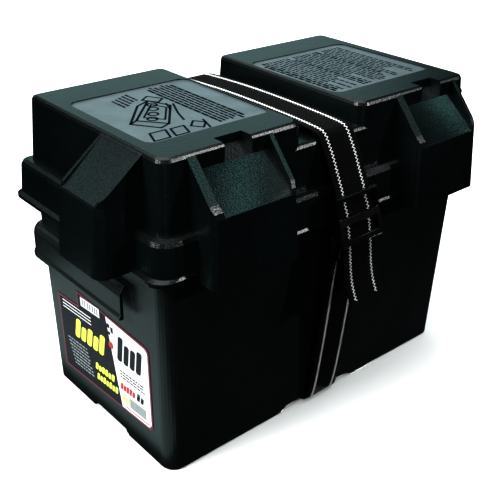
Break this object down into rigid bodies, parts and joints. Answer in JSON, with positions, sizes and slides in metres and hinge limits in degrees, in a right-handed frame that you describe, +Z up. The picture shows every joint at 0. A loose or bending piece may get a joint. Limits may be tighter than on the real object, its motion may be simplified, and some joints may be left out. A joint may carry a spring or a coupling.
{
  "type": "strapped battery box with deep cycle battery",
  "caption": "Deep cycle battery standing in a moulded box with a lift-off lid, cable hoods and a webbing strap with a ladder-lock buckle.",
  "frame": {"origin": "centre of the overall footprint, on the floor under the box's feet", "axes": "+X along the box, towards the end without the sticker; the buckle is on the -Y side; +Z up"},
  "size_m": [0.4218, 0.251, 0.278],
  "materials": {
    "box_plastic": "fine pebble grain, semi-matte black",
    "lid_plastic": "fine pebble grain, semi-matte black",
    "webbing": "black woven webbing with white stitching",
    "buckle_plastic": "satin black",
    "sticker": "printed film",
    "case_plastic": "satin",
    "cover_plastic": "satin",
    "plates": "matte lead paste and separator",
    "lead": "cast lead",
    "steel": "bright",
    "vent_plastic": "satin",
    "seal_rubber": "matte"
  },
  "bodies": {
    "box": {"box_base": "box_plastic", "box_label": "sticker", "strap_under": "webbing", "battery_case": "case_plastic", "battery_cover": "cover_plastic", "plate_pack_1": "plates", "plate_pack_2": "plates", "plate_pack_3": "plates", "plate_pack_4": "plates", "plate_pack_5": "plates", "plate_pack_6": "plates", "cell_link_1": "lead", "cell_link_2": "lead", "cell_link_3": "lead", "cell_link_4": "lead", "cell_link_5": "lead", "terminal_pos": "lead", "stud_pos": "steel", "washer_pos": "steel", "terminal_neg": "lead", "stud_neg": "steel", "washer_neg": "steel", "vent_seal_1": "seal_rubber", "vent_seal_2": "seal_rubber", "vent_seal_3": "seal_rubber", "vent_seal_4": "seal_rubber", "vent_seal_5": "seal_rubber", "vent_seal_6": "seal_rubber"},
    "lid": {"box_lid": "lid_plastic", "strap_over": "webbing", "strap_loop": "webbing", "buckle": "buckle_plastic"},
    "wing_nut_pos_body": {"wing_nut_pos": "steel"},
    "wing_nut_neg_body": {"wing_nut_neg": "steel"},
    "vent_cap_1_body": {"vent_cap_1": "vent_plastic"},
    "vent_cap_2_body": {"vent_cap_2": "vent_plastic"},
    "vent_cap_3_body": {"vent_cap_3": "vent_plastic"},
    "vent_cap_4_body": {"vent_cap_4": "vent_plastic"},
    "vent_cap_5_body": {"vent_cap_5": "vent_plastic"},
    "vent_cap_6_body": {"vent_cap_6": "vent_plastic"}
  },
  "joints": [
    {"name": "lid_lift", "type": "slide", "parent": "box", "child": "lid", "axis": [0, 0, 1], "range_m": [0, 0.15]},
    {"name": "wing_nut_pos_turn", "type": "hinge", "parent": "box", "child": "wing_nut_pos_body", "pos_m": [0.09638, -0.032, 0.2193], "axis": [0, 0, 1], "continuous": true},
    {"name": "wing_nut_neg_turn", "type": "hinge", "parent": "box", "child": "wing_nut_neg_body", "pos_m": [-0.09638, -0.032, 0.2193], "axis": [0, 0, 1], "continuous": true},
    {"name": "vent_cap_1_turn", "type": "hinge", "parent": "box", "child": "vent_cap_1_body", "pos_m": [-0.12437, 0.014, 0.208], "axis": [0, 0, 1], "range_deg": [0, 90]},
    {"name": "vent_cap_2_turn", "type": "hinge", "parent": "box", "child": "vent_cap_2_body", "pos_m": [-0.07462, 0.014, 0.208], "axis": [0, 0, 1], "range_deg": [0, 90]},
    {"name": "vent_cap_3_turn", "type": "hinge", "parent": "box", "child": "vent_cap_3_body", "pos_m": [-0.02488, 0.014, 0.208], "axis": [0, 0, 1], "range_deg": [0, 90]},
    {"name": "vent_cap_4_turn", "type": "hinge", "parent": "box", "child": "vent_cap_4_body", "pos_m": [0.02488, 0.014, 0.208], "axis": [0, 0, 1], "range_deg": [0, 90]},
    {"name": "vent_cap_5_turn", "type": "hinge", "parent": "box", "child": "vent_cap_5_body", "pos_m": [0.07462, 0.014, 0.208], "axis": [0, 0, 1], "range_deg": [0, 90]},
    {"name": "vent_cap_6_turn", "type": "hinge", "parent": "box", "child": "vent_cap_6_body", "pos_m": [0.12437, 0.014, 0.208], "axis": [0, 0, 1], "range_deg": [0, 90]}
  ]
}
